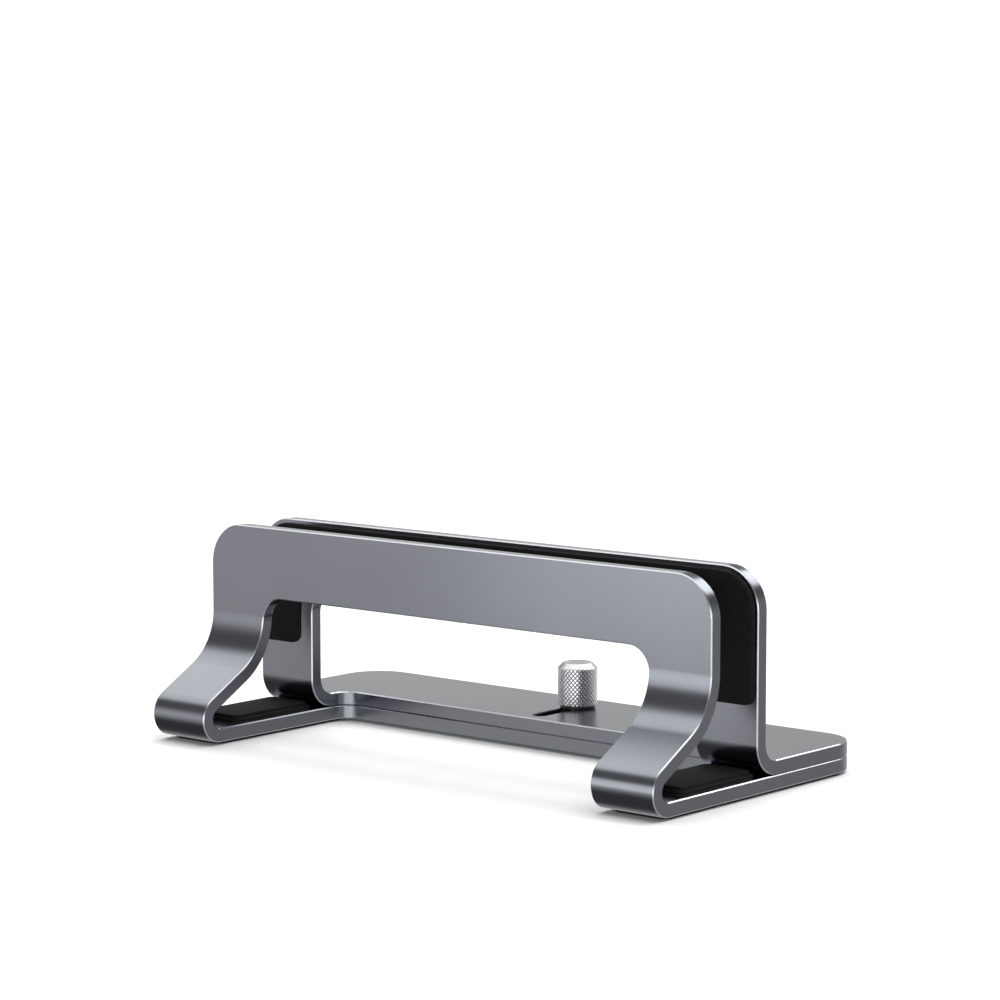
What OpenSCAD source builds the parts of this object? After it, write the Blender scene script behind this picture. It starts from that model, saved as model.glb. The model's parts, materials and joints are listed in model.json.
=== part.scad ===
// Adjustable vertical laptop stand.
//
// Two bent aluminium sheets stand face to face and hold a closed laptop on its edge.
// The front bracket is an arched panel on two S-shaped legs that roll under into foot
// strips and a base plate. The rear bracket is an arched panel on two L-bends, and its
// plate slides on the base plate. A knurled thumb nut clamps the two plates together.
//
// Units are millimetres. The origin is under the middle of the stand, level with the
// soles of the foot pads. +X runs along the panels, +Y to the back and +Z up.

/* [Stand] */
// Length of the stand along the panels
stand_w = 180; // [150:1:240]
// Thickness of both bent sheets
sheet_t = 4; // [3:0.5:5]
// Height of the panels above the underside of the base plate
panel_h = 59.8; // [55:0.1:80]
// Width of each leg and of each foot strip
leg_w = 20.3; // [18:0.1:22]
// Height of the underside of the arches above the underside of the base plate
arch_h = 39.5; // [38:0.5:46]
// Radius of the upper corners of the panels
panel_corner_r = 11.5; // [8:0.5:15]
// Radius of the corners of the arches
arch_corner_r = 7; // [4:0.5:9]

/* [Front legs] */
// Turn of the leg from upright to its sloping run, in degrees
leg_turn = 60.4; // [56:0.2:62]
// Radius of the upper bend, measured on the front face
leg_bend_r = 17; // [14:0.5:18]
// Length of the straight sloping run
leg_run = 14; // [11:0.5:16]
// Outer radius of the toe, where the sheet rolls under
toe_r = 6.8; // [6:0.1:8]

/* [Base] */
// Distance from the front of the front panel to the rear edge of the base
base_reach = 70.2; // [66:0.2:80]
// Distance from the front of the front panel to the base's front edge between the strips
notch_reach = 34.6; // [33:0.2:36]
// Radius of the concave corners between the strips and the base
notch_corner_r = 5; // [3:0.5:8]
// Radius of the rear corners of the base
base_corner_r = 12; // [6:0.5:16]
// Inside radius of the rear bracket's bend
rear_bend_r = 5; // [4:0.5:6]
// Clearance between the sliding plates
plate_gap = 0.05; // [0.02:0.01:0.1]

/* [Laptop slot] */
// Bare distance between the two panels with the stand closed
panel_gap = 16.3; // [15:0.1:17]
// Travel of the rear bracket
slide_travel = 16.5; // [8:0.5:17]

/* [Pads] */
// Thickness of the adhesive film under every pad
film_t = 0.1; // [0.05:0.05:0.2]
// Thickness of the panel pads
panel_pad_t = 0.9; // [0.6:0.1:1.4]
// Distance of the panel pads from the outer edges of the panels
panel_pad_inset = 1.25; // [1:0.05:2]
// Distance of the panel pads from the edge of the arch
arch_pad_inset = 4.9; // [2:0.1:6]
// Height of the lower ends of the rear panel pad above the underside of the base plate
rear_pad_end = 23.4; // [20:0.2:30]
// Height of the lower ends of the front panel pad above the underside of the base plate
front_pad_end = 35.6; // [35:0.2:38]
// Thickness of the flange of the rest pads
rest_flange_t = 1.1; // [0.8:0.1:1.4]
// Thickness of the raised part of the rest pads
rest_top_t = 0.9; // [0.6:0.1:1]
// Width of the rest pads
rest_pad_w = 17; // [13:0.5:18]
// Length of the rest pads
rest_pad_len = 32.5; // [28:0.5:33]
// Thickness of the foot pads
foot_pad_t = 0.7; // [0.5:0.1:1]
// Distance of the foot pads from the edges of the base
foot_pad_inset = 1.2; // [0.8:0.1:3]

/* [Clamp] */
// Diameter of the thumb nut
knob_d = 11.4; // [10:0.1:12]
// Height of the thumb nut
knob_h = 12.2; // [11:0.1:14]
// Width of the chamfer round the top of the thumb nut
knob_chamfer = 1.5; // [0.8:0.1:2]
// Diameter of the washer
washer_d = 10; // [9:0.1:11]
// Thickness of the washer
washer_t = 0.8; // [0.6:0.1:1]
// Thread diameter of the clamp stud
stud_d = 4; // [4:0.5:5]
// Distance from the front of the front panel to the axis of the stud
stud_reach = 57.2; // [56:0.1:57.4]
// Diameter of the guide pins
pin_d = 4; // [3:0.5:4]
// Distance of each guide pin from the middle of the stand
pin_x = 50; // [30:1:55]

/* [Hidden] */

$fn = 96;
bend_steps = 24;                        // straight steps in each bend of a sheet
cut = 1;                                // overrun of cutting shapes past the faces they cut
running = 0.05;                         // radial clearance of parts that run on each other

sheet_grey = "#74777d";
soft_black = "#1c1d1f";
film_grey = "#b9bbb8";
silver = "#d5d7da";
steel = "#9da0a4";
nylon_black = "#151516";

// Levels, measured from the ground
base_z = foot_pad_t + film_t;           // underside of the base plate
plate_z = base_z + sheet_t + plate_gap; // underside of the sliding plate
clamp_z = plate_z + sheet_t;            // top of the sliding plate
knob_z = clamp_z + washer_t;            // underside of the thumb nut
top_z = base_z + panel_h;               // top of both panels
arch_z = base_z + arch_h;               // underside of both arches

// Front leg: upper bend, sloping run and toe
leg_drop = leg_bend_r * sin(leg_turn) + leg_run * cos(leg_turn);
bend_h = toe_r + toe_r * sin(leg_turn) + leg_drop;
toe_back = leg_bend_r * (1 - cos(leg_turn)) + leg_run * sin(leg_turn) - toe_r * cos(leg_turn);
toe_reach = toe_back + toe_r;

// Places along Y
front_y = (toe_reach - base_reach) / 2; // front face of the front panel
rear_y = front_y + sheet_t + panel_gap; // front face of the rear panel
notch_y = front_y + notch_reach;
base_rear_y = front_y + base_reach;
stud_y = front_y + stud_reach;
toe_y = front_y - toe_back;             // centre of the toe's roll

arch_w = stand_w - 2 * leg_w;
strip_x = (stand_w - leg_w) / 2;        // middle of a foot strip

// Adjusting slot and guide grooves, with the stand closed
slot_w = stud_d + 0.2;
slot_rear_y = stud_y + slot_w / 2 + 0.1;
slot_front_y = stud_y - slide_travel - slot_w / 2 - 0.3;
groove_w = pin_d + 2 * running;
pin_y = stud_y - 2;
pin_seat = 3.2;                         // depth of a guide pin in the base plate
pin_tip = 1.4;                          // height of a guide pin above the base plate
groove_h = pin_tip + 0.2;
groove_end = groove_w / 2 + 0.3;        // groove past the pin's axis at each end

// Clamp stud
stud_head_d = 8;
stud_head_t = 1.2;
stud_grip = 8.4;                        // thread inside the thumb nut
knob_bore_h = 10.2;
knob_foot_r = 0.3;                      // small chamfer round the foot of the thumb nut

// Pads
rest_step = 1;                          // width of the ledge round the raised part
rest_corner_r = 3;
rest_back = 2.4;                        // reach of the rest pads behind the front face of the rear panel
rest_y = rear_y + rest_back - rest_pad_len / 2;
foot_corner_r = 3;
foot_front_y = toe_y;
foot_side_rear_y = base_rear_y - 8;     // clear of the rounded corner of the base
foot_bar_w = 110;
foot_bar_d = 14;                        // covers the head of the stud
foot_bar_rear_y = base_rear_y - 4;
pad_end_r = 2.8;                        // corners at the lower ends of the panel pads

// Points along an arc about a centre, from direction a0 to a1
function arc(centre, r, a0, a1) = [
    for (i = [0 : bend_steps])
        let (a = a0 + (a1 - a0) * i / bend_steps)
        centre + r * [cos(a), sin(a)]
];

// What rounding takes off a corner at the origin that fills the first quadrant
module corner_waste(r) {
    difference() {
        translate([-cut, -cut])
            square(r + cut);
        translate([r, r])
            circle(r = r);
    }
}

// An upright shape on the X axis with rounded upper corners
module tombstone(w, h, r) {
    translate([-w / 2, 0])
        square([w, h - r]);
    translate([r - w / 2, 0])
        square([w - 2 * r, h]);
    for (side = [-1, 1])
        translate([side * (w / 2 - r), h - r])
            circle(r = r);
}

// A rectangle about the origin with rounded corners
module rounded_rectangle(w, d, r) {
    square([w - 2 * r, d], center = true);
    square([w, d - 2 * r], center = true);
    for (x = [-1, 1], y = [-1, 1])
        translate([x * (w / 2 - r), y * (d / 2 - r)])
            circle(r = r);
}

// Turns a section drawn in Y and Z into a solid across the full width
module across() {
    rotate([90, 0, 90])
        translate([0, 0, -stand_w / 2])
            linear_extrude(stand_w)
                children();
}

// Turns an outline drawn in X and Z into a solid from one place along Y to another
module upright(y_from, y_to) {
    translate([0, y_to, 0])
        rotate([90, 0, 0])
            linear_extrude(y_to - y_from)
                children();
}

// Waste round the upper corners of a panel
module panel_corner_waste() {
    for (side = [0, 1])
        mirror([side, 0])
            translate([stand_w / 2, top_z])
                rotate(180)
                    corner_waste(panel_corner_r);
}

// Waste round the two rear corners of a plate
module base_corner_waste() {
    for (side = [0, 1])
        mirror([side, 0])
            translate([stand_w / 2, base_rear_y])
                rotate(180)
                    corner_waste(base_corner_r);
}

// The space between the foot strips, seen from above
module notch(y_front) {
    translate([0, y_front])
        tombstone(arch_w, notch_y - y_front, notch_corner_r);
}

// The window under an arch, seen from the front
module arch_window() {
    translate([0, -cut])
        tombstone(arch_w, arch_z + cut, arch_corner_r);
}

// Section of the front bracket, down its front face, round the leg to the base and back
module front_section() {
    bend = [front_y - leg_bend_r, base_z + bend_h];
    toe = [toe_y, base_z + toe_r];
    polygon(concat(
        [[front_y, top_z]],
        arc(bend, leg_bend_r, 0, -leg_turn),
        arc(toe, toe_r, 180 - leg_turn, 270),
        [[base_rear_y, base_z]],
        [[base_rear_y, base_z + sheet_t]],
        arc(toe, toe_r - sheet_t, 270, 180 - leg_turn),
        arc(bend, leg_bend_r + sheet_t, -leg_turn, 0),
        [[front_y + sheet_t, top_z]]
    ));
}

// Section of the rear bracket, down its front face, under the plate and back
module rear_section() {
    bend_outer = rear_bend_r + sheet_t;
    bend = [rear_y + bend_outer, plate_z + bend_outer];
    polygon(concat(
        [[rear_y, top_z]],
        arc(bend, bend_outer, 180, 270),
        [[base_rear_y, plate_z]],
        [[base_rear_y, clamp_z]],
        arc(bend, rear_bend_r, 270, 180),
        [[rear_y + sheet_t, top_z]]
    ));
}

// A straight slot with round ends, seen from above
module slot_outline(w, y_from, y_to) {
    translate([-w / 2, y_from + w / 2])
        square([w, y_to - y_from - w]);
    for (y = [y_from + w / 2, y_to - w / 2])
        translate([0, y])
            circle(r = w / 2);
}

// Front panel, legs, foot strips and base plate, bent from one sheet
module front_bracket() {
    color(sheet_grey)
        difference() {
            across()
                front_section();
            upright(front_y - toe_reach - cut, front_y + sheet_t + cut) {
                arch_window();
                panel_corner_waste();
            }
            translate([0, 0, base_z - cut])
                linear_extrude(sheet_t + 2 * cut) {
                    notch(front_y);
                    base_corner_waste();
                }
            translate([0, stud_y, base_z - cut])
                cylinder(d = stud_d, h = sheet_t + 2 * cut);
            translate([0, stud_y, base_z - cut])
                cylinder(d = stud_head_d, h = stud_head_t + cut);
            for (side = [-1, 1])
                translate([side * pin_x, pin_y, base_z + sheet_t - pin_seat])
                    cylinder(d = pin_d, h = pin_seat + cut);
        }
}

// Rear panel, bends and sliding plate, bent from one sheet
module rear_bracket() {
    color(sheet_grey)
        difference() {
            across()
                rear_section();
            upright(rear_y - cut, notch_y - notch_corner_r)
                arch_window();
            upright(rear_y - cut, rear_y + sheet_t + cut)
                panel_corner_waste();
            translate([0, 0, plate_z - cut])
                linear_extrude(sheet_t + 2 * cut) {
                    notch(rear_y);
                    base_corner_waste();
                    slot_outline(slot_w, slot_front_y, slot_rear_y);
                }
            translate([0, 0, plate_z - cut])
                linear_extrude(groove_h + cut)
                    for (side = [-1, 1])
                        translate([side * pin_x, 0])
                            slot_outline(groove_w, pin_y - slide_travel - groove_end,
                                         pin_y + groove_end);
        }
}

// Outline of a panel pad: an upside-down U with rounded ends
module panel_pad_outline(end_h) {
    pad_w = stand_w - 2 * panel_pad_inset;
    pad_top = top_z - panel_pad_inset;
    end_z = base_z + end_h;
    window_w = arch_w + 2 * arch_pad_inset;
    window_top = arch_z + arch_pad_inset;
    difference() {
        translate([0, end_z])
            tombstone(pad_w, pad_top - end_z, panel_corner_r - panel_pad_inset);
        translate([0, end_z - cut])
            tombstone(window_w, window_top - end_z + cut,
                      min(arch_corner_r + arch_pad_inset, window_top - end_z));
        for (side = [0, 1])
            mirror([side, 0]) {
                translate([-pad_w / 2, end_z])
                    corner_waste(pad_end_r);
                translate([-window_w / 2, end_z])
                    mirror([1, 0])
                        corner_waste(pad_end_r);
            }
    }
}

// Film and pad on the back of the front panel
module front_panel_pad_film() {
    back_y = front_y + sheet_t;
    color(film_grey)
        upright(back_y, back_y + film_t)
            panel_pad_outline(front_pad_end);
}

module front_panel_pad() {
    back_y = front_y + sheet_t + film_t;
    color(soft_black)
        upright(back_y, back_y + panel_pad_t)
            panel_pad_outline(front_pad_end);
}

// Film and pad on the front of the rear panel
module rear_panel_pad_film() {
    color(film_grey)
        upright(rear_y - film_t, rear_y)
            panel_pad_outline(rear_pad_end);
}

module rear_panel_pad() {
    color(soft_black)
        upright(rear_y - film_t - panel_pad_t, rear_y - film_t)
            panel_pad_outline(rear_pad_end);
}

// Film and stepped pad on top of a foot strip, where the laptop's edge stands
module rest_pad_film(side) {
    color(film_grey)
        translate([side * strip_x, rest_y, base_z + sheet_t])
            linear_extrude(film_t)
                rounded_rectangle(rest_pad_w, rest_pad_len, rest_corner_r);
}

module rest_pad(side) {
    color(soft_black)
        translate([side * strip_x, rest_y, base_z + sheet_t + film_t]) {
            linear_extrude(rest_flange_t)
                rounded_rectangle(rest_pad_w, rest_pad_len, rest_corner_r);
            linear_extrude(rest_flange_t + rest_top_t)
                rounded_rectangle(rest_pad_w - 2 * rest_step, rest_pad_len - 2 * rest_step,
                                  rest_corner_r - rest_step);
        }
}

module rest_pad_left() {
    rest_pad(-1);
}

module rest_pad_right() {
    rest_pad(1);
}

module rest_pad_left_film() {
    rest_pad_film(-1);
}

module rest_pad_right_film() {
    rest_pad_film(1);
}

// Outline of a foot pad along the underside of one side of the base
module foot_side_outline(side) {
    foot_w = leg_w - 2 * foot_pad_inset;
    foot_len = foot_side_rear_y - foot_front_y;
    translate([side * strip_x, foot_front_y + foot_len / 2])
        rounded_rectangle(foot_w, foot_len, foot_corner_r);
}

// Outline of the foot pad across the rear of the base
module foot_rear_outline() {
    translate([0, foot_bar_rear_y - foot_bar_d / 2])
        rounded_rectangle(foot_bar_w, foot_bar_d, foot_corner_r);
}

// Lays a foot pad on the ground under an outline
module foot_pad() {
    color(soft_black)
        linear_extrude(foot_pad_t)
            children();
}

// Lays the film of a foot pad between the pad and the base
module foot_film() {
    color(film_grey)
        translate([0, 0, foot_pad_t])
            linear_extrude(film_t)
                children();
}

module foot_pad_left() {
    foot_pad()
        foot_side_outline(-1);
}

module foot_pad_right() {
    foot_pad()
        foot_side_outline(1);
}

module foot_pad_rear() {
    foot_pad()
        foot_rear_outline();
}

module foot_pad_left_film() {
    foot_film()
        foot_side_outline(-1);
}

module foot_pad_right_film() {
    foot_film()
        foot_side_outline(1);
}

module foot_pad_rear_film() {
    foot_film()
        foot_rear_outline();
}

// Flush-head stud pressed into the base plate from below
module clamp_stud() {
    color(steel)
        translate([0, stud_y, 0]) {
            translate([0, 0, base_z])
                cylinder(d = stud_head_d, h = stud_head_t);
            translate([0, 0, base_z])
                cylinder(d = stud_d, h = knob_z + stud_grip - base_z);
        }
}

// Washer that rises with the thumb nut but does not turn
module knob_washer() {
    color(nylon_black)
        translate([0, stud_y, clamp_z])
            difference() {
                cylinder(d = washer_d, h = washer_t);
                translate([0, 0, -cut])
                    cylinder(d = stud_d + 2 * running, h = washer_t + 2 * cut);
            }
}

// Thumb nut with a chamfered top and a blind threaded bore
module clamp_knob() {
    r = knob_d / 2;
    color(silver)
        translate([0, stud_y, knob_z])
            difference() {
                rotate_extrude()
                    polygon([
                        [0, 0],
                        [r - knob_foot_r, 0],
                        [r, knob_foot_r],
                        [r, knob_h - knob_chamfer],
                        [r - knob_chamfer, knob_h],
                        [0, knob_h]
                    ]);
                translate([0, 0, -cut])
                    cylinder(d = stud_d + 2 * running, h = knob_bore_h + cut);
            }
}

// Two dowels that keep the sliding plate square to the base
module guide_pins() {
    color(steel)
        for (side = [-1, 1])
            translate([side * pin_x, pin_y, base_z + sheet_t - pin_seat])
                cylinder(d = pin_d, h = pin_seat + pin_tip);
}

front_bracket();
rear_bracket();
front_panel_pad();
front_panel_pad_film();
rear_panel_pad();
rear_panel_pad_film();
rest_pad_left();
rest_pad_left_film();
rest_pad_right();
rest_pad_right_film();
foot_pad_left();
foot_pad_left_film();
foot_pad_right();
foot_pad_right_film();
foot_pad_rear();
foot_pad_rear_film();
clamp_stud();
knob_washer();
clamp_knob();
guide_pins();
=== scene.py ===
"""Looks of the adjustable vertical laptop stand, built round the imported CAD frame.

Everything is in metres, in the CAD's own frame: +X along the panels, +Y to the back, +Z up.
The two bent sheets are cut out flat with chamfered edges and then bent along their section.
"""

import json
import math

import bmesh
import bpy
from mathutils import Matrix, Vector


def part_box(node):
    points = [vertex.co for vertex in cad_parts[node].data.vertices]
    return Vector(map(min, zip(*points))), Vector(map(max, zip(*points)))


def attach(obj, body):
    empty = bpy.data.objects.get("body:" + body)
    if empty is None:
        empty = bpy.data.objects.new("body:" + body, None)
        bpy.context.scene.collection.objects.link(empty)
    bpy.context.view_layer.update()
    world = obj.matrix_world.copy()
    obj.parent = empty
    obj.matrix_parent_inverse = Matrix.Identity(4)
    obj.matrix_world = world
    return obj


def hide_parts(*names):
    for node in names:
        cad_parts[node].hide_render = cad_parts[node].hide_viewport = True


MM = 0.001

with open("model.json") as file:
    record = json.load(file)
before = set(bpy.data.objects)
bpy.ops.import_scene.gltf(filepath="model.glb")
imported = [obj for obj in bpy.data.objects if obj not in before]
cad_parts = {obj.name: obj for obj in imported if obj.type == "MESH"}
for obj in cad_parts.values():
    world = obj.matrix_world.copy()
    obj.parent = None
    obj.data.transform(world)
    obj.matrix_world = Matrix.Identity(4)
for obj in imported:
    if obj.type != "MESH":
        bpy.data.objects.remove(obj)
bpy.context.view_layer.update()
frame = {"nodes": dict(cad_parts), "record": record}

# ---------------------------------------------------------------- sizes from the frame
front_lo, front_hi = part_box("front_bracket")
rear_lo, rear_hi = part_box("rear_bracket")
stud_lo, stud_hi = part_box("clamp_stud")
knob_lo, knob_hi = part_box("clamp_knob")
washer_lo, washer_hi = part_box("knob_washer")
pins_lo, pins_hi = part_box("guide_pins")
stud_y = (stud_lo.y + stud_hi.y) / 2

# ---------------------------------------------------------------- sizes of the design
SHEET = 4 * MM
LEG_W = 20.3 * MM
ARCH_H = 39.5 * MM                  # from the underside of the base plate
PANEL_CORNER = 11.5 * MM
ARCH_CORNER = 7 * MM
NOTCH_REACH = 34.6 * MM             # from the front of the front panel
NOTCH_CORNER = 5 * MM
BASE_CORNER = 12 * MM
BASE_REACH = 70.2 * MM              # from the front of the front panel
LEG_TURN = math.radians(60.4)
LEG_BEND = 17 * MM
LEG_RUN = 14 * MM
TOE = 6.8 * MM
REAR_BEND = 9 * MM                  # outside radius
EDGE = 0.3 * MM                     # chamfer along the edges of the sheets
SLIDE_TRAVEL = 16.5 * MM
ARCH_PAD_INSET = 4.9 * MM
PAD_END_CORNER = 2.8 * MM
STUD_D = 4 * MM
SLOT_W = STUD_D + 0.2 * MM
SLOT_PLAY_CLOSED = 0.1 * MM         # slot past the stud with the stand closed
SLOT_PLAY_OPEN = 0.3 * MM           # and with the stand open
STUD_HEAD_D = 8 * MM
STUD_HEAD_T = 1.2 * MM
PIN_D = 4 * MM
PIN_SEAT = 3.2 * MM
RUNNING = 0.05 * MM                 # radial clearance
GROOVE_W = PIN_D + 2 * RUNNING
GROOVE_H = 1.6 * MM
GROOVE_PLAY = 0.3 * MM              # groove past a pin at either end of the travel
KNOB_CHAMFER = 1.5 * MM
BORE_DEPTH = 10.2 * MM
BORE_POINT = 1 * MM                 # drill point past the bore
KNOB_FOOT = 0.3 * MM                # chamfer round the foot of the nut
KNURL_AROUND = 31                   # diamonds round the nut
KNURL_ROWS = 21                     # half-steps of diamonds along it
KNURL_DEPTH = 0.3 * MM
KNURL_BLUNT = 0.6                   # width of a diamond's crown over that of its cell
PAD_ROUND = 0.45 * MM               # rounded edges of the panel pads
REST_ROUND = 0.35 * MM
FOOT_ROUND = 0.25 * MM
PAD_CORNER = 3 * MM                 # corners of the rest and foot pads
REST_FLANGE = 1.1 * MM              # height of the rest pads' lower step
REST_LEDGE = 1 * MM                 # and its width
OVER = 1 * MM                       # overshoot of the cutting tools

panel_y = front_hi.y - BASE_REACH   # front face of the front panel
arch_w = front_hi.x - front_lo.x - 2 * LEG_W
arch_z = front_lo.z + ARCH_H
notch_y = panel_y + NOTCH_REACH


# ---------------------------------------------------------------- camera
def look_at(target, azimuth, elevation, distance):
    a, e = math.radians(azimuth), math.radians(elevation)
    back = Vector((math.sin(a) * math.cos(e), -math.cos(a) * math.cos(e), math.sin(e)))
    turn = (-back).to_track_quat("-Z", "Y").to_matrix().to_4x4()
    return Matrix.Translation(Vector(target) + back * distance) @ turn


def make_camera():
    """A long lens a little above the stand, off its right front corner."""
    aim = (2.4 * MM, -3.1 * MM, 72 * MM)
    azimuth, elevation, distance = 40.21, 6.53, 0.92
    data = bpy.data.cameras.new("camera")
    data.sensor_width = 36
    data.lens = 120.1
    data.clip_start = 0.05
    data.clip_end = 60
    camera = bpy.data.objects.new("camera", data)
    bpy.context.scene.collection.objects.link(camera)
    camera.matrix_world = look_at(aim, azimuth, elevation, distance)
    bpy.context.scene.camera = camera


# ---------------------------------------------------------------- materials
class Paint:
    """A node material with a Principled shader, and short calls for what feeds it."""

    def __init__(self, name, **sockets):
        self.material = bpy.data.materials.new(name)
        self.material.use_nodes = True
        self.nodes = self.material.node_tree.nodes
        self.links = self.material.node_tree.links
        self.shader = self.nodes["Principled BSDF"]
        self.place = self.nodes.new("ShaderNodeTexCoord").outputs["Object"]
        for socket, value in sockets.items():
            self.shader.inputs[socket.replace("_", " ")].default_value = value

    def noise(self, size, detail=3):
        """Noise whose grains are about one size across, in metres."""
        mapping = self.nodes.new("ShaderNodeMapping")
        mapping.inputs["Scale"].default_value = [1 / size] * 3
        self.links.new(self.place, mapping.inputs["Vector"])
        texture = self.nodes.new("ShaderNodeTexNoise")
        texture.inputs["Scale"].default_value = 1
        texture.inputs["Detail"].default_value = detail
        self.links.new(mapping.outputs["Vector"], texture.inputs["Vector"])
        return texture.outputs["Fac"]

    def rings(self, size, centre):
        """Turning marks about a vertical axis."""
        mapping = self.nodes.new("ShaderNodeMapping")
        mapping.inputs["Location"].default_value = -Vector(centre)
        self.links.new(self.place, mapping.inputs["Vector"])
        texture = self.nodes.new("ShaderNodeTexWave")
        texture.wave_type = "RINGS"
        texture.rings_direction = "Z"
        texture.inputs["Scale"].default_value = 0.31 / size
        texture.inputs["Distortion"].default_value = 0.6
        self.links.new(mapping.outputs["Vector"], texture.inputs["Vector"])
        return texture.outputs["Fac"]

    def spread(self, value, low, high, socket):
        """Maps a texture from its middle range to a range of a socket."""
        ramp = self.nodes.new("ShaderNodeMapRange")
        ramp.inputs["From Min"].default_value = 0.3
        ramp.inputs["From Max"].default_value = 0.7
        ramp.inputs["To Min"].default_value = low
        ramp.inputs["To Max"].default_value = high
        self.links.new(value, ramp.inputs["Value"])
        self.links.new(ramp.outputs["Result"], self.shader.inputs[socket])

    def tint(self, value, dark, light):
        """Colours the surface between two colours by a texture."""
        ramp = self.nodes.new("ShaderNodeValToRGB")
        ramp.color_ramp.elements[0].position = 0.3
        ramp.color_ramp.elements[0].color = (*dark, 1)
        ramp.color_ramp.elements[1].position = 0.7
        ramp.color_ramp.elements[1].color = (*light, 1)
        self.links.new(value, ramp.inputs["Fac"])
        self.links.new(ramp.outputs["Color"], self.shader.inputs["Base Color"])

    def bump(self, value, height, strength):
        """Adds relief of a height in metres."""
        node = self.nodes.new("ShaderNodeBump")
        node.inputs["Strength"].default_value = strength
        node.inputs["Distance"].default_value = height
        self.links.new(value, node.inputs["Height"])
        self.links.new(node.outputs["Normal"], self.shader.inputs["Normal"])


def anodised_grey():
    paint = Paint("anodised_grey", Metallic=1.0)
    paint.tint(paint.noise(45 * MM, 2), (0.178, 0.186, 0.205), (0.194, 0.203, 0.224))
    grain = paint.noise(0.12 * MM, 2)
    paint.spread(grain, 0.20, 0.26, "Roughness")
    paint.bump(grain, 0.001 * MM, 0.2)
    return paint.material


def bright_edge():
    paint = Paint("bright_edge", Metallic=1.0)
    paint.tint(paint.noise(6 * MM, 3), (0.38, 0.39, 0.41), (0.44, 0.45, 0.47))
    paint.spread(paint.noise(0.5 * MM, 2), 0.20, 0.30, "Roughness")
    return paint.material


def silicone_black():
    paint = Paint("silicone_black", Specular_IOR_Level=0.16)
    paint.tint(paint.noise(4 * MM, 4), (0.0060, 0.0061, 0.0066), (0.0095, 0.0096, 0.0103))
    grain = paint.noise(0.18 * MM, 3)
    paint.spread(grain, 0.70, 0.84, "Roughness")
    paint.bump(grain, 0.012 * MM, 0.6)
    return paint.material


def knob_silver():
    paint = Paint("knob_silver", Metallic=1.0)
    paint.tint(paint.noise(1.5 * MM, 3), (0.70, 0.705, 0.72), (0.80, 0.805, 0.82))
    paint.spread(paint.noise(0.3 * MM, 2), 0.20, 0.28, "Roughness")
    centre = ((knob_lo.x + knob_hi.x) / 2, stud_y, knob_hi.z)
    paint.bump(paint.rings(0.12 * MM, centre), 0.004 * MM, 0.5)
    return paint.material


def knurl_flank_painted_shade():
    """The rolled flanks of the knurl, painted darker than the crowns as shade in the grooves."""
    paint = Paint("knurl_flank_painted_shade", Metallic=1.0)
    paint.tint(paint.noise(0.6 * MM, 3), (0.44, 0.444, 0.452), (0.56, 0.564, 0.574))
    paint.spread(paint.noise(0.3 * MM, 2), 0.30, 0.42, "Roughness")
    return paint.material


def turned_face_painted_shade():
    """The faced-off top and chamfer of the nut: turning marks stretch reflections along the radius. Its
    colour is a darker copy of the silver, painted shade on the top.
    """
    paint = Paint("turned_face_painted_shade", Metallic=1.0, Anisotropic=0.7)
    paint.tint(paint.noise(1.2 * MM, 3), (0.40, 0.403, 0.41), (0.50, 0.504, 0.512))
    paint.spread(paint.noise(0.3 * MM, 2), 0.26, 0.36, "Roughness")
    tangent = paint.nodes.new("ShaderNodeTangent")
    tangent.direction_type = "RADIAL"
    tangent.axis = "Z"
    paint.links.new(tangent.outputs["Tangent"], paint.shader.inputs["Tangent"])
    return paint.material


def stud_steel():
    paint = Paint("stud_steel", Metallic=1.0)
    paint.tint(paint.noise(2 * MM, 3), (0.50, 0.51, 0.52), (0.60, 0.61, 0.62))
    paint.spread(paint.noise(0.4 * MM, 2), 0.26, 0.38, "Roughness")
    return paint.material


def washer_nylon():
    paint = Paint("washer_nylon", Specular_IOR_Level=0.5)
    paint.tint(paint.noise(1 * MM, 3), (0.008, 0.008, 0.009), (0.014, 0.014, 0.015))
    paint.spread(paint.noise(0.3 * MM, 2), 0.35, 0.45, "Roughness")
    return paint.material


def adhesive_film():
    paint = Paint("adhesive_film", Specular_IOR_Level=0.4)
    paint.tint(paint.noise(2 * MM, 3), (0.03, 0.03, 0.03), (0.05, 0.05, 0.05))
    paint.spread(paint.noise(0.5 * MM, 2), 0.4, 0.55, "Roughness")
    return paint.material


# ---------------------------------------------------------------- outlines
def rounded_outline(corners, steps=10):
    """Points and outward normals round a polygon, counter-clockwise, from (x, y, radius) corners."""
    found = []
    for i, (x, y, radius) in enumerate(corners):
        here = Vector((x, y))
        before = Vector(corners[i - 1][:2])
        after = Vector(corners[(i + 1) % len(corners)][:2])
        to_before = (before - here).normalized()
        to_after = (after - here).normalized()
        turn = math.pi - to_before.angle(to_after)
        convex = to_before.cross(to_after) < 0
        inward = (to_before + to_after).normalized()
        centre = here + inward * radius / math.cos(turn / 2)
        for k in range(steps + 1):
            swing = turn * (k / steps - 0.5) * (1 if convex else -1)
            normal = Matrix.Rotation(swing, 2) @ -inward
            found.append((centre + normal * radius, normal if convex else -normal))
    return found


def rectangle(x0, x1, y0, y1, lower, upper):
    """Corners of a rectangle with one radius for its lower corners and one for its upper."""
    return [(x0, y0, lower), (x1, y0, lower), (x1, y1, upper), (x0, y1, upper)]


# ---------------------------------------------------------------- meshes
def as_object(name, bm, materials):
    mesh = bpy.data.meshes.new(name)
    bmesh.ops.recalc_face_normals(bm, faces=bm.faces)
    bm.to_mesh(mesh)
    bm.free()
    for material in materials:
        mesh.materials.append(material)
    piece = bpy.data.objects.new(name, mesh)
    bpy.context.scene.collection.objects.link(piece)
    return piece


def ring_faces(bm, lower, upper, material=0):
    """Joins two rings of as many points each."""
    for i in range(len(lower)):
        j = (i + 1) % len(lower)
        face = bm.faces.new((lower[i], lower[j], upper[j], upper[i]))
        face.material_index = material


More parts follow.
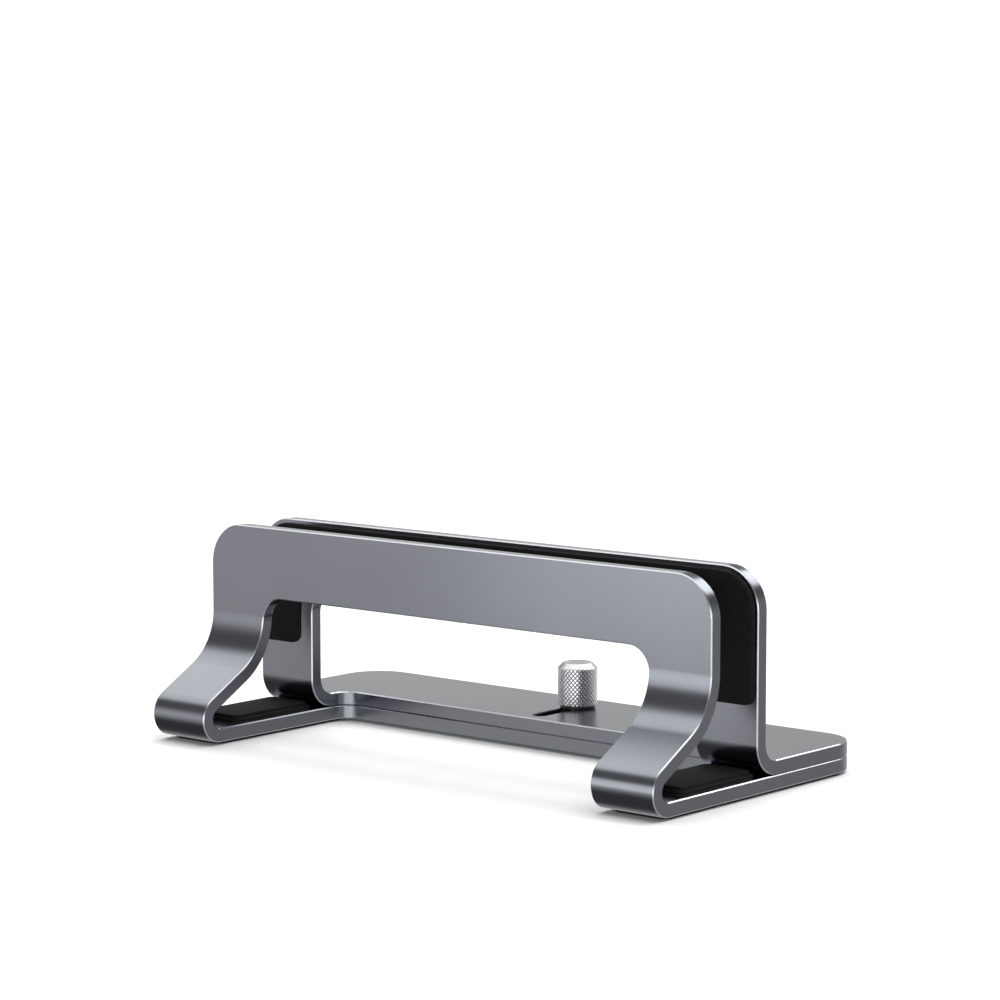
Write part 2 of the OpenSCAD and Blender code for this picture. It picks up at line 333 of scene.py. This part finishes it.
def slab(name, outline, profile, place, materials):
    """A plate with an outline and an edge profile of (inset, height) steps, put in place by a
    function from (x, y, height) to a point."""
    bm = bmesh.new()
    rings = []
    for inset, height in profile:
        points = [p - n * inset for p, n in outline]
        rings.append([bm.verts.new(place(p.x, p.y, height)) for p in points])
    for lower, upper in zip(rings, rings[1:]):
        ring_faces(bm, lower, upper)
    bm.faces.new(rings[0])
    bm.faces.new(rings[-1])
    return as_object(name, bm, materials)


def lathe(name, profile, centre, materials, steps=96):
    """A solid of revolution from a closed (radius, height) outline; a radius of 0 is on the axis."""
    bm = bmesh.new()
    rings = []
    for radius, height in profile:
        if radius == 0:
            rings.append([bm.verts.new(centre + Vector((0, 0, height)))])
            continue
        ring = []
        for k in range(steps):
            a = 2 * math.pi * k / steps
            ring.append(bm.verts.new(centre + Vector((radius * math.cos(a), radius * math.sin(a), height))))
        rings.append(ring)
    for lower, upper in zip(rings, rings[1:] + rings[:1]):
        if len(lower) == len(upper) == 1:
            continue
        if len(lower) == len(upper):
            ring_faces(bm, lower, upper)
            continue
        tip, ring = (lower[0], upper) if len(lower) == 1 else (upper[0], lower)
        for i in range(steps):
            bm.faces.new((tip, ring[i], ring[(i + 1) % steps]))
    return as_object(name, bm, materials)


def combine(piece, tool, operation):
    """Applies a boolean with another object, and removes that object."""
    modifier = piece.modifiers.new("combine", "BOOLEAN")
    modifier.operation = operation
    modifier.solver = "EXACT"
    modifier.object = tool
    bpy.context.view_layer.update()
    shown = piece.evaluated_get(bpy.context.evaluated_depsgraph_get())
    mesh = bpy.data.meshes.new_from_object(shown)
    piece.modifiers.clear()
    old = piece.data
    piece.data = mesh
    mesh.name = piece.name
    bpy.data.meshes.remove(old)
    bpy.data.objects.remove(tool, do_unlink=True)
    return piece


def smooth(piece, angle=30):
    """Smooth faces with sharp edges kept, and large flat faces left flat."""
    mesh = piece.data
    mesh.shade_smooth()
    mesh.set_sharp_from_angle(angle=math.radians(angle))
    modifier = piece.modifiers.new("normals", "WEIGHTED_NORMAL")
    modifier.keep_sharp = True
    modifier.weight = 100
    return piece


def finish_piece(piece, body, node):
    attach(piece, body)
    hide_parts(node)
    return piece


# ---------------------------------------------------------------- bent sheets
class BendPath:
    """The section of a bent sheet in Y and Z. Its outer face starts at a point and goes down.
    A bend with a positive turn has its centre on the sheet's inner side."""

    STEP = math.radians(2.5)

    def __init__(self, y, z):
        self.at_start = Vector((y, z))
        self.angle = -math.pi / 2
        self.length = 0
        self.parts = []

    def _side(self, angle):
        return Vector((math.cos(angle + math.pi / 2), math.sin(angle + math.pi / 2)))

    def run(self, length):
        self.parts.append((self.length, length, self.at_start.copy(), self.angle, 0, 0))
        self.at_start += Vector((math.cos(self.angle), math.sin(self.angle))) * length
        self.length += length
        return self

    def bend(self, radius, turn):
        sign = 1 if turn > 0 else -1
        length = (radius - sign * SHEET / 2) * abs(turn)
        centre = self.at_start + self._side(self.angle) * radius * sign
        self.parts.append((self.length, length, centre, self.angle, turn, radius))
        self.angle += turn
        self.at_start = centre - self._side(self.angle) * radius * sign
        self.length += length
        return self

    def cuts(self):
        """Where the flat sheet needs a row of edges."""
        rows = []
        for start, length, _, _, turn, _ in self.parts:
            steps = max(1, round(abs(turn) / self.STEP))
            rows += [start + length * k / steps for k in range(steps + 1)]
        return sorted(set(round(r, 7) for r in rows if 0 < r < self.length))

    def place(self, s, depth):
        """Y and Z of a point of the flat sheet, at a depth below its outer face."""
        for start, length, origin, angle, turn, radius in self.parts:
            if s <= start + length or (start, length) == self.parts[-1][:2]:
                break
        if not turn:
            along = Vector((math.cos(angle), math.sin(angle)))
            return origin + along * (s - start) + self._side(angle) * depth
        sign = 1 if turn > 0 else -1
        side = self._side(angle + turn * (s - start) / length)
        return origin - side * sign * (radius - sign * depth)


def flat_tool(name, outline, profile):
    """A cutting tool for the flat sheet: outline in x and s, profile of (inset, depth)."""
    return slab(name, outline, profile, lambda x, s, depth: Vector((x, s, depth)), [])


def slot_corners(x, half_w, s0, s1):
    """A straight slot with round ends."""
    r = half_w * 0.999  # a hair under half the width, so that no two points coincide
    return rectangle(x - half_w, x + half_w, s0, s1, r, r)


def bent_sheet(name, path, notch_s, tools, materials, window_back=1):
    """Cuts a sheet and its window out flat, chamfers its edges, and bends it along its path. The
    chamfers have the second material, and the one round the window's back that of window_back."""
    half = (front_hi.x - front_lo.x) / 2
    window_s = front_hi.z - arch_z
    outer = rounded_outline(rectangle(-half, half, 0, path.length, PANEL_CORNER, BASE_CORNER))
    sides = rectangle(-arch_w / 2, arch_w / 2, window_s, notch_s, ARCH_CORNER, NOTCH_CORNER)
    window = rounded_outline(sides)
    edge = ((EDGE, 0), (0, EDGE), (0, SHEET - EDGE), (EDGE, SHEET))
    bm = bmesh.new()
    rims = {}
    for label, outline, sign in (("outer", outer, 1), ("window", window, -1)):
        rings = []
        for inset, depth in edge:
            points = [p - n * inset * sign for p, n in outline]
            rings.append([bm.verts.new((p.x, p.y, depth)) for p in points])
        back = window_back if label == "window" else 1
        for lower, upper, material in zip(rings, rings[1:], (1, 0, back)):
            ring_faces(bm, lower, upper, material)
        rims[label] = rings
    for level in (0, -1):
        ring_faces(bm, rims["outer"][level], rims["window"][level])
    flat = as_object(name, bm, materials)
    for tool in tools:
        combine(flat, tool, "DIFFERENCE")
    bm = bmesh.new()
    bm.from_mesh(flat.data)
    for row in path.cuts():
        everything = bm.verts[:] + bm.edges[:] + bm.faces[:]
        bmesh.ops.bisect_plane(bm, geom=everything, dist=1e-7, plane_co=(0, row, 0), plane_no=(0, 1, 0))
    for vert in bm.verts:
        yz = path.place(vert.co.y, vert.co.z)
        vert.co = Vector((vert.co.x, yz.x, yz.y))
    bmesh.ops.recalc_face_normals(bm, faces=bm.faces)
    bm.to_mesh(flat.data)
    bm.free()
    return smooth(flat)


def front_sheet(materials):
    drop = LEG_BEND * math.sin(LEG_TURN) + LEG_RUN * math.cos(LEG_TURN)
    bend_z = front_lo.z + TOE * (1 + math.sin(LEG_TURN)) + drop
    toe_y = front_lo.y + TOE
    path = BendPath(panel_y, front_hi.z)
    path.run(front_hi.z - bend_z).bend(LEG_BEND, -LEG_TURN).run(LEG_RUN)
    path.bend(TOE, math.pi / 2 + LEG_TURN).run(front_hi.y - toe_y)

    def s_of(y):
        return path.length - (front_hi.y - y)

    stud = rounded_outline(slot_corners(0, STUD_D / 2, s_of(stud_y) - STUD_D / 2, s_of(stud_y) + STUD_D / 2))
    head_r = STUD_HEAD_D / 2
    head = rounded_outline(slot_corners(0, head_r, s_of(stud_y) - head_r, s_of(stud_y) + head_r))
    tools = [
        flat_tool("stud_hole", stud, ((0, -OVER), (0, SHEET + OVER))),
        flat_tool("stud_head_seat", head, ((0, -OVER), (0, STUD_HEAD_T))),
    ]
    pin_s = s_of((pins_lo.y + pins_hi.y) / 2)
    for x in (pins_lo.x + PIN_D / 2, pins_hi.x - PIN_D / 2):
        seat = rounded_outline(slot_corners(x, PIN_D / 2, pin_s - PIN_D / 2, pin_s + PIN_D / 2))
        tools.append(flat_tool("pin_seat", seat, ((0, SHEET - PIN_SEAT), (0, SHEET + OVER))))
    piece = bent_sheet("front_bracket_sheet", path, s_of(notch_y), tools, materials, window_back=0)
    return finish_piece(piece, "base", "front_bracket")


def rear_sheet(materials):
    path = BendPath(rear_lo.y, rear_hi.z)
    path.run(rear_hi.z - rear_lo.z - REAR_BEND).bend(REAR_BEND, math.pi / 2)
    path.run(rear_hi.y - rear_lo.y - REAR_BEND)

    def s_of(y):
        return path.length - (rear_hi.y - y)

    half_slot = SLOT_W / 2
    slot_rear = stud_y + half_slot + SLOT_PLAY_CLOSED
    slot_front = stud_y - SLIDE_TRAVEL - half_slot - SLOT_PLAY_OPEN
    slot = rounded_outline(slot_corners(0, half_slot, s_of(slot_front), s_of(slot_rear)))
    flare = ((0, -OVER), (0, SHEET - EDGE), (-EDGE - OVER, SHEET + OVER))
    tools = [flat_tool("adjusting_slot", slot, flare)]
    pin_y = (pins_lo.y + pins_hi.y) / 2
    groove_end = GROOVE_W / 2 + GROOVE_PLAY
    for x in (pins_lo.x + PIN_D / 2, pins_hi.x - PIN_D / 2):
        s0, s1 = s_of(pin_y - SLIDE_TRAVEL - groove_end), s_of(pin_y + groove_end)
        groove = rounded_outline(slot_corners(x, GROOVE_W / 2, s0, s1))
        tools.append(flat_tool("guide_groove", groove, ((0, -OVER), (0, GROOVE_H))))
    piece = bent_sheet("rear_bracket_sheet", path, s_of(notch_y), tools, materials)
    return finish_piece(piece, "rear_panel", "rear_bracket")


# ---------------------------------------------------------------- pads
def soft_edge(thickness, radius, steps=5):
    """Edge profile of a moulded pad: square at its glued face, rounded at its free face."""
    profile = [(0.15 * radius, 0), (0, 0.15 * radius)]
    for k in range(steps + 1):
        a = math.pi / 2 * k / steps
        profile.append((radius * (1 - math.cos(a)), thickness - radius * (1 - math.sin(a))))
    return profile


def panel_pad(name, body, node, facing, material):
    """The upside-down U on the inner face of a panel. facing is +1 if its free face looks to +Y."""
    lo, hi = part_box(node)
    top_r = PANEL_CORNER - (front_hi.x - hi.x)
    window_half = arch_w / 2 + ARCH_PAD_INSET
    window_top = arch_z + ARCH_PAD_INSET
    end = PAD_END_CORNER
    straight = 0.2 * MM     # least straight run between two corners
    inner_r = min(ARCH_CORNER + ARCH_PAD_INSET, window_top - lo.z - end - straight)
    corners = [
        (hi.x, lo.z, end), (hi.x, hi.z, top_r), (lo.x, hi.z, top_r), (lo.x, lo.z, end),
        (-window_half, lo.z, end), (-window_half, window_top, inner_r),
        (window_half, window_top, inner_r), (window_half, lo.z, end),
    ]
    glued = lo.y if facing > 0 else hi.y
    profile = soft_edge(hi.y - lo.y, PAD_ROUND)
    piece = slab(name, rounded_outline(corners), profile,
                 lambda x, z, height: Vector((x, glued + facing * height, z)), [material])
    return finish_piece(smooth(piece), body, node)


def rest_pad(side, material):
    """The stepped pad that the laptop's edge stands on."""
    node = "rest_pad_" + side
    lo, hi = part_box(node)
    outline = rounded_outline(rectangle(lo.x, hi.x, lo.y, hi.y, PAD_CORNER, PAD_CORNER))
    crease = 0.1 * MM
    profile = soft_edge(REST_FLANGE, REST_ROUND)
    profile.append((REST_LEDGE - crease, REST_FLANGE))
    profile.append((REST_LEDGE, REST_FLANGE + crease))
    top = soft_edge(hi.z - lo.z, REST_ROUND)[2:]
    profile += [(REST_LEDGE + inset, height) for inset, height in top]
    piece = slab(node + "_moulding", outline, profile,
                 lambda x, y, height: Vector((x, y, lo.z + height)), [material])
    return finish_piece(smooth(piece), "base", node)


def foot_pad(where, material):
    """A flat pad under the base, with a rounded sole."""
    node = "foot_pad_" + where
    lo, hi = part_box(node)
    outline = rounded_outline(rectangle(lo.x, hi.x, lo.y, hi.y, PAD_CORNER, PAD_CORNER))
    profile = soft_edge(hi.z - lo.z, FOOT_ROUND)
    piece = slab(node + "_moulding", outline, profile,
                 lambda x, y, height: Vector((x, y, hi.z - height)), [material])
    return finish_piece(smooth(piece), "base", node)


# ---------------------------------------------------------------- clamp
def washer(material):
    lo, hi = washer_lo, washer_hi
    shy = 0.02 * MM    # keeps the ring just off the foot of the nut, which turns on it
    r, bore, t, e = (hi.x - lo.x) / 2, STUD_D / 2 + RUNNING, hi.z - lo.z - shy, 0.15 * MM
    profile = [(bore, 0), (r - e, 0), (r, e), (r, t - e), (r - e, t), (bore, t)]
    piece = lathe("washer_ring", profile, Vector((0, stud_y, lo.z)), [material])
    return finish_piece(smooth(piece), "washer", "knob_washer")


def knurled_blank(radius, height, z0, materials):
    """A closed drum whose skin is a lattice of blunt diamonds. Flanks have the second material."""
    bm = bmesh.new()
    count, rows, blunt = KNURL_AROUND, KNURL_ROWS, KNURL_BLUNT
    half_turn = math.pi / count
    dz = height / rows

    def point(i, j, r):
        a = i * half_turn
        return Vector((r * math.cos(a), r * math.sin(a), z0 + j * dz))

    valley = {}
    for j in range(rows + 1):
        for i in range(j % 2, 2 * count, 2):
            valley[i, j] = bm.verts.new(point(i, j, radius - KNURL_DEPTH))
    for j in range(rows + 1):
        for i in range((j + 1) % 2, 2 * count, 2):
            left, right = valley[(i - 1) % (2 * count), j], valley[(i + 1) % (2 * count), j]
            if j == 0:
                bm.faces.new((left, right, valley[i, 1]))
                continue
            if j == rows:
                bm.faces.new((left, valley[i, j - 1], right))
                continue
            rim = [left, valley[i, j - 1], right, valley[i, j + 1]]
            crown = [bm.verts.new(point(i + blunt * u, j + blunt * v, radius))
                     for u, v in ((-1, 0), (0, -1), (1, 0), (0, 1))]
            # the flanks take the second material, painted darker as shade in the grooves
            ring_faces(bm, rim, crown, material=1)
            bm.faces.new(crown)
    for j in (0, rows):
        bm.faces.new([valley[i, j] for i in range(j % 2, 2 * count, 2)])
    return as_object("thumb_nut", bm, materials)


def knob(materials):
    """The knurled drum, turned down to its chamfers and bored. Its materials are for the crowns, the flanks
    and the turned top;
    the flanks and the top are darker copies of the silver, painted shade."""
    lo, hi = knob_lo, knob_hi
    r, h = (hi.x - lo.x) / 2, hi.z - lo.z
    over = 0.8 * MM     # blank past the nut at either end
    skin = 0.02 * MM    # keeps the turned shape just outside the crowns
    rim = 0.15 * MM
    piece = knurled_blank(r, h + 2 * over, -over, materials)
    piece.data.transform(Matrix.Translation((0, stud_y, lo.z)))
    bore = STUD_D / 2 + RUNNING
    top_r = r - KNOB_CHAMFER
    profile = [
        (0, BORE_DEPTH + BORE_POINT), (bore, BORE_DEPTH), (bore, 0), (r - KNOB_FOOT, 0),
        (r + skin, KNOB_FOOT + skin), (r + skin, h - KNOB_CHAMFER - skin),
        (top_r + rim, h - rim), (top_r, h), (0, h),
    ]
    shape = lathe("knob_shape", profile, Vector((0, stud_y, lo.z)), materials[:1])
    combine(piece, shape, "INTERSECT")
    mesh = piece.data
    # the top and its chamfer take the third material, a darker copy of the silver painted as shade on the
    # top
    for face in mesh.polygons:
        if face.normal.z > 0.5 and face.center.z > hi.z - KNOB_CHAMFER:
            face.material_index = 2
    mesh.shade_smooth()
    mesh.set_sharp_from_angle(angle=math.radians(14))
    return finish_piece(piece, "knob", "clamp_knob")


# ---------------------------------------------------------------- studio
def make_floor():
    bm = bmesh.new()
    bmesh.ops.create_grid(bm, x_segments=8, y_segments=8, size=20)
    floor = as_object("floor", bm, [])
    paint = Paint("floor_paper", Roughness=0.8, Specular_IOR_Level=0.1)
    paint.tint(paint.noise(300 * MM, 2), (0.80, 0.80, 0.80), (0.82, 0.82, 0.82))
    floor.data.materials.append(paint.material)
    floor.visible_glossy = False


class Sky:
    """The studio round the stand, as sums and products of ranges over a direction."""

    def __init__(self):
        world = bpy.data.worlds.new("studio")
        bpy.context.scene.world = world
        world.use_nodes = True
        self.nodes = world.node_tree.nodes
        self.links = world.node_tree.links
        self.strength = self.nodes["Background"].inputs["Strength"]
        self.nodes["Background"].inputs["Color"].default_value = (1, 1, 1, 1)
        place = self.nodes.new("ShaderNodeTexCoord")
        split = self.nodes.new("ShaderNodeSeparateXYZ")
        self.links.new(place.outputs["Generated"], split.inputs["Vector"])
        self.x, self.y, self.z = split.outputs

    def math(self, operation, first, second):
        node = self.nodes.new("ShaderNodeMath")
        node.operation = operation
        for socket, value in zip(node.inputs, (first, second)):
            if isinstance(value, (int, float)):
                socket.default_value = value
            else:
                self.links.new(value, socket)
        return node.outputs["Value"]

    def plus(self, first, second):
        return self.math("ADD", first, second)

    def times(self, first, second):
        return self.math("MULTIPLY", first, second)

    def rise(self, value, start, end, low, high):
        """Low before the start, high after the end, and smooth between them."""
        node = self.nodes.new("ShaderNodeMapRange")
        node.interpolation_type = "SMOOTHSTEP"
        for socket, number in zip(list(node.inputs)[1:5], (start, end, low, high)):
            socket.default_value = number
        self.links.new(value, node.inputs["Value"])
        return node.outputs["Result"]


def make_sky():
    """White walls up to a little above the horizon, brighter at the left and in front, a dim gap
    above them, a ceiling softbox that comes lower at the back with a brighter bar across it, and
    the glow of the floor."""
    left_wall, right_wall, back_share, front_glow = 1.1, 0.48, 0.8, 2.2
    gap, ceiling_light, bar_light, floor_glow = 0.24, 2.2, 2.6, 0.5
    sky = Sky()

    below = sky.rise(sky.z, -0.46, -0.02, 0, 1)
    above = sky.rise(sky.z, 0.03, 0.38, 1, 0)
    to_right = sky.rise(sky.x, -0.62, 0.75, left_wall, right_wall)
    side = sky.times(to_right, sky.rise(sky.y, -0.2, 0.6, 1, back_share))
    right_of_centre = sky.rise(sky.x, -0.15, 0.10, 0, front_glow)
    front = sky.times(right_of_centre, sky.rise(sky.y, -0.62, -0.42, 1, 0))
    walls = sky.times(sky.times(below, above), sky.plus(side, front))

    tilted = sky.plus(sky.z, sky.times(sky.y, 0.12))
    lean = sky.plus(tilted, sky.rise(sky.x, -0.72, -0.58, 0.08, 0))
    ceiling = sky.rise(lean, 0.62, 0.76, gap, ceiling_light)
    ceiling = sky.times(ceiling, sky.rise(sky.z, -0.5, 0.2, 0.5, 1))
    bar = sky.times(sky.rise(sky.y, 0.26, 0.34, 0, bar_light), sky.rise(sky.y, 0.42, 0.54, 1, 0))
    bar = sky.times(bar, sky.rise(sky.z, 0.50, 0.60, 0, 1))

    behind = sky.rise(sky.y, 0, 0.5, 0, floor_glow)
    not_left = sky.rise(sky.x, -0.55, -0.1, 0, floor_glow)
    lit = sky.math("MAXIMUM", behind, not_left)
    ground = sky.times(lit, sky.rise(sky.z, -0.48, -0.06, 1, 0))

    total = sky.plus(sky.plus(walls, ground), sky.plus(bar, ceiling))
    sky.links.new(total, sky.strength)


def softbox(name, azimuth, elevation, distance, width, height, power):
    data = bpy.data.lights.new(name, "AREA")
    data.shape = "RECTANGLE"
    data.size = width
    data.size_y = height
    data.energy = power
    light = bpy.data.objects.new(name, data)
    bpy.context.scene.collection.objects.link(light)
    light.matrix_world = look_at((0, 0, 0.03), azimuth, elevation, distance)


def make_studio():
    make_floor()
    make_sky()
    softbox("front_left", azimuth=-22, elevation=4, distance=0.65, width=0.36, height=0.30, power=0.45)
    softbox("back", azimuth=171, elevation=36, distance=1.5, width=0.9, height=0.24, power=2.8)
    bpy.context.scene.view_settings.view_transform = "Standard"


# ---------------------------------------------------------------- the stand
make_camera()
grey, edge = anodised_grey(), bright_edge()
rubber, silver = silicone_black(), knob_silver()
front_sheet([grey, edge])
rear_sheet([grey, edge])
panel_pad("front_panel_pad_moulding", "base", "front_panel_pad", 1, rubber)
panel_pad("rear_panel_pad_moulding", "rear_panel", "rear_panel_pad", -1, rubber)
for side in ("left", "right"):
    rest_pad(side, rubber)
for where in ("left", "right", "rear"):
    foot_pad(where, rubber)
washer(washer_nylon())
# crowns in silver; the flanks and the turned top are darker copies of it, painted shade
knob([silver, knurl_flank_painted_shade(), turned_face_painted_shade()])

node_paint = {"adhesive_film": adhesive_film(), "stud_steel": stud_steel()}
for entry in frame["record"]["subparts"]:
    if entry["material_slot"] in node_paint:
        slots = frame["nodes"][entry["node"]].data.materials
        slots.clear()
        slots.append(node_paint[entry["material_slot"]])

make_studio()
